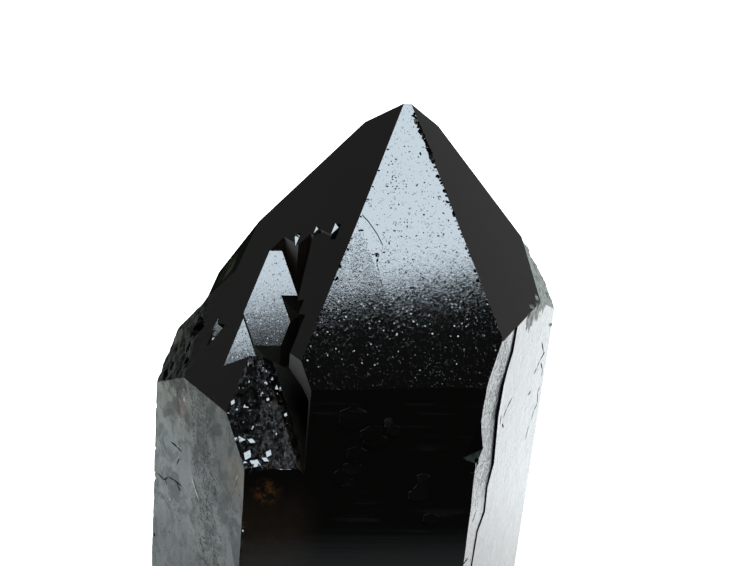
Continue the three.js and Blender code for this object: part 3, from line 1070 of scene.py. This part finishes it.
def crumblyFinish():
    f = Finish("crumbly")
    height = f.along((0, 0, 1))
    band = f.step(f.along((1, 0, 0)), -18.6, -17.4) * f.step(height, -34.5, -37.5)
    streak = f.step(f.noise(0.5, 4.0, 0.7, at=f.stretched((1.0, 0.3, 0.3))), 0.4, 0.65)
    grey = f.blend(streak, (0.003, 0.0025, 0.002), (0.022, 0.017, 0.012))
    cloud = f.step(f.noise(0.7, 4.0, 0.7), 0.4, 0.65)
    dark = f.blend(cloud, (0.001, 0.001, 0.001), (0.008, 0.007, 0.006))
    # painted orange glow at the foot of the crumbly end, mixed over its colour
    glow = f.patch("paintedGlowAbove") * f.noise(0.9, 4.0, 0.7)
    colour = f.cells(0.3, f.stretched((1.0, 0.6, 0.6)))
    sparkle = f.step(f.chance(colour), 0.84, 0.9) * (1.0 - 0.6 * band)
    return f.surface(
        Base_Color=f.blend(glow, f.blend(band, dark, grey), (0.09, 0.036, 0.012)),
        Roughness=0.2,
        IOR=quartzIor,
        Specular_IOR_Level=0.14,
        Coat_Weight=sparkle,
        Coat_Roughness=0.1,
        Normal=f.bump(f.noise(0.35, 4.0, 0.7), 0.09, f.glint(colour, 1.1 - 0.5 * band)),
    )


def crustFinish():
    f = Finish("crust")
    dirt = f.step(f.noise(0.9, 4.0, 0.65), 0.48, 0.66)
    return f.surface(
        Base_Color=f.blend(dirt, (0.29, 0.295, 0.262), (0.1, 0.096, 0.08)),
        Roughness=0.6,
        IOR=quartzIor,
        Normal=f.bump(f.noise(0.35, 4.0, 0.6), 0.06),
    )


def paleFleckFinish():
    f = Finish("pale fleck")
    return f.surface(Base_Color=(0.62, 0.64, 0.58), Roughness=0.5, IOR=quartzIor)


def brokenCornerFinish():
    f = Finish("broken corner")
    cloud = f.step(f.noise(1.8, 5.0, 0.65, warp=0.5), 0.42, 0.68)
    # painted highlight: the lit facet of the broken corner is lighter in its base colour
    lit = f.patch("litCorner")
    colour = f.blend(cloud, (0.002, 0.002, 0.0017), (0.017, 0.018, 0.013))
    return f.surface(
        Base_Color=f.blend(lit, colour, (0.06, 0.062, 0.045)),
        Roughness=0.5,
        IOR=quartzIor,
        Specular_IOR_Level=0.02,
        Normal=f.bump(f.noise(0.5, 4.0, 0.65), 0.08),
    )


def leftShoulderFinish():
    f = Finish("left shoulder")
    patch = f.patch("greyShoulder") * f.step(f.noise(1.6, 4.0, 0.6), 0.4, 0.6)
    return f.surface(
        Base_Color=f.blend(patch, (0.006, 0.0065, 0.005), (0.035, 0.036, 0.024)),
        Roughness=0.6,
        IOR=quartzIor,
        Specular_IOR_Level=0.0,
    )


def grooveBrownFinish():
    f = Finish("groove brown")
    low = f.step(f.along((0, 0, 1)), -26.0, -30.0)
    cloud = f.noise(1.4, 4.0, 0.6)
    brown = f.blend(cloud, (0.001, 0.001, 0.001), (0.014, 0.009, 0.006))
    grey = f.blend(cloud, (0.004, 0.004, 0.003), (0.034, 0.031, 0.025))
    return f.surface(
        Base_Color=f.blend(low, brown, grey),
        Roughness=0.3,
        IOR=quartzIor,
        Specular_IOR_Level=0.08,
        Normal=f.bump(f.noise(1.0, 3.0), 0.02),
    )


def backSideFinish():
    f = Finish("back side")
    haze = f.noise(5.0, 5.0, 0.6)
    lines = f.noise(0.7, 3.0, 0.6, at=f.stretched((0.05, 0.05, 1.0)))
    return f.surface(
        Base_Color=f.blend(f.step(haze, 0.4, 0.7), blackGlass, (0.03, 0.032, 0.028)),
        Roughness=f.step(haze, 0.35, 0.65, 0.1, 0.28),
        IOR=quartzIor,
        Normal=f.bump(lines, 0.03),
    )


def cutFootFinish():
    f = Finish("cut foot")
    return f.surface(
        Base_Color=f.blend(f.noise(3.0, 5.0, 0.6), (0.01, 0.009, 0.007), (0.045, 0.042, 0.036)),
        Roughness=0.45,
        IOR=quartzIor,
        Normal=f.bump(f.noise(1.2, 4.0, 0.6), 0.05),
    )


finishes = {
    "black_gloss": blackGlossFinish,
    "stippled_tip": stippledTipFinish,
    "left_frosted": leftFrostedFinish,
    "right_bright": rightBrightFinish,
    "crumbly": crumblyFinish,
    "crust": crustFinish,
    "broken_corner": brokenCornerFinish,
    "left_shoulder": leftShoulderFinish,
    "groove_brown": grooveBrownFinish,
    "front_black": frontBlackFinish,
    "plate_rim": plateRimFinish,
    "edge_chip": edgeChipFinish,
    "crack_shadow": crackShadowFinish,
    "pale_fleck": paleFleckFinish,
    "back_side": backSideFinish,
    "cut_foot": cutFootFinish,
}
smoothAngle = math.radians(24)
crystal.data.materials.clear()
for name in surfaceNames:
    crystal.data.materials.append(finishes[name]())
crystal.data.polygons.foreach_set("material_index", kinds.astype(np.int32))
only(crystal)
bpy.ops.object.shade_smooth_by_angle(angle=smoothAngle)
clearSelection(crystal.data)
flatKinds = [surfaceNames.index(name) for name in flatSurfaces]
crystal.data.polygons.foreach_set("select", np.isin(kinds, flatKinds))
editMode()
bpy.ops.mesh.faces_shade_flat()
objectMode()
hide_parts("quartz_crystal")
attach(crystal, "root")
print("finishes set")


# The stage: a pale glowing floor that glows less near the crystal, as painted shade, and a dark card before
# the front side that only reflections show, with a painted shadowed floor on its near part
stage = {
    "floorSize": 6.0,
    "floorGlow": (1.25, (2.16, 2.26, 2.3)),
    "paintedShadeReach": (30.0, 95.0),
    "cardWidth": 0.9,
    "cardNear": -0.03,
    "cardFar": -0.75,
    "cardLift": 0.0004,
    "cardShade": (0.028, (0.23, 0.27, 0.275)),
    "cardFade": (-90.0, -76.0),
}


def glowing(name, pattern, low, high):
    f = Finish(name)
    f.surface(Base_Color=(0, 0, 0), Roughness=1.0, Specular_IOR_Level=0.0, Emission_Strength=1.0)
    return f.surface(Emission_Color=f.blend(pattern(f), (low,) * 3, high))


# The floor glows less within a few centimetres of the crystal: painted shade around its foot
def floorWithPaintedShade(f):
    return f.step(f.near(*-tipPoint), *stage["paintedShadeReach"])


# The card is darkest far out and glows more towards the crystal: its near part is a painted dim, shadowed
# floor seen in reflections
def cardPattern(f):
    start, end = stage["cardFade"]
    return f.step(f.along((0, 1, 0)), start - tipPoint.y, end - tipPoint.y)


bpy.ops.mesh.primitive_plane_add(size=stage["floorSize"])
floor = bpy.context.active_object
floor.name = "floor"
floor.data.materials.append(glowing("pale floor", floorWithPaintedShade, *stage["floorGlow"]))
cardDepth = stage["cardNear"] - stage["cardFar"]
cardMiddle = (stage["cardNear"] + stage["cardFar"]) / 2
bpy.ops.mesh.primitive_plane_add(size=1)
card = bpy.context.active_object
card.name = "dark_card"
card.scale = (stage["cardWidth"], cardDepth, 1)
card.location = (0, cardMiddle, stage["cardLift"])
bpy.ops.object.transform_apply(location=True, rotation=True, scale=True)
card.visible_camera = False
card.data.materials.append(glowing("dark card", cardPattern, *stage["cardShade"]))

# Window light from above the front tip face: its lower edge ends the bright part of that face
windowLight = {
    "aim": (0, -13, -17),
    "distance": 0.7,
    "turn": 16,
    "roll": -2.4,
    "lowRise": 54.92,
    "highRise": 78,
    "width": 0.45,
    "radiance": 14,
    "colour": (0.86, 1.0, 1.11),
}
rise = (windowLight["lowRise"] + windowLight["highRise"]) / 2
spread = math.radians((windowLight["highRise"] - windowLight["lowRise"]) / 2)
outwards = away(windowLight["turn"], rise)
roll = Quaternion(outwards, math.radians(windowLight["roll"]))
bpy.ops.object.light_add(
    type="AREA",
    location=spot(*windowLight["aim"]) + outwards * windowLight["distance"],
    rotation=(roll @ (-outwards).to_track_quat("-Z", "Y")).to_euler(),
)
window = bpy.context.active_object.data
window.shape = "RECTANGLE"
window.size = windowLight["width"]
window.size_y = 2 * windowLight["distance"] * math.tan(spread)
window.energy = windowLight["radiance"] * math.pi * window.size * window.size_y
window.color = windowLight["colour"]

# Dim room: darker in front than behind, and a little darker on the left
roomGlow = {
    "frontToBack": (-0.25, 0.1),
    "strength": (0.03, 0.23),
    "leftToRight": (-0.6, 0.2),
    "share": (0.72, 1.0),
}
room = bpy.data.worlds.new("room")
bpy.context.scene.world = room
room.use_nodes = True
nodes, links = room.node_tree.nodes, room.node_tree.links
place = nodes.new("ShaderNodeTexCoord")
parts = nodes.new("ShaderNodeSeparateXYZ")
links.new(place.outputs["Generated"], parts.inputs[0])
backwards = nodes.new("ShaderNodeMapRange")
backwards.interpolation_type = "SMOOTHSTEP"
links.new(parts.outputs["Y"], backwards.inputs[0])
sideways = nodes.new("ShaderNodeMapRange")
links.new(parts.outputs["X"], sideways.inputs[0])
for ramp, limits, results in ((backwards, "frontToBack", "strength"), (sideways, "leftToRight", "share")):
    for index, value in enumerate(roomGlow[limits] + roomGlow[results], start=1):
        ramp.inputs[index].default_value = value
strength = nodes.new("ShaderNodeMath")
strength.operation = "MULTIPLY"
links.new(backwards.outputs[0], strength.inputs[0])
links.new(sideways.outputs[0], strength.inputs[1])
links.new(strength.outputs[0], nodes["Background"].inputs["Strength"])
nodes["Background"].inputs["Color"].default_value = (1, 1, 1, 1)

# The camera, at the photograph's angle
cameraPlace = {
    "position": (-24.018, -149.278, 27.397),
    "right": (0.98917658, -0.11535534, 0.09067987),
    "up": (-0.04509474, 0.34909417, 0.93600199),
    "lens": 53.64,
    "sensorWidth": 36,
    "clipStart": 0.01,
}
bpy.ops.object.camera_add()
camera = bpy.context.active_object
right = Vector(cameraPlace["right"])
up = Vector(cameraPlace["up"])
pose = Matrix((right, up, right.cross(up))).transposed().to_4x4()
pose.translation = spot(*cameraPlace["position"])
camera.matrix_world = pose
camera.data.lens = cameraPlace["lens"]
camera.data.sensor_width = cameraPlace["sensorWidth"]
camera.data.clip_start = cameraPlace["clipStart"]
bpy.context.scene.camera = camera
bpy.context.scene.view_settings.view_transform = "Standard"
print("stage, light and camera set")
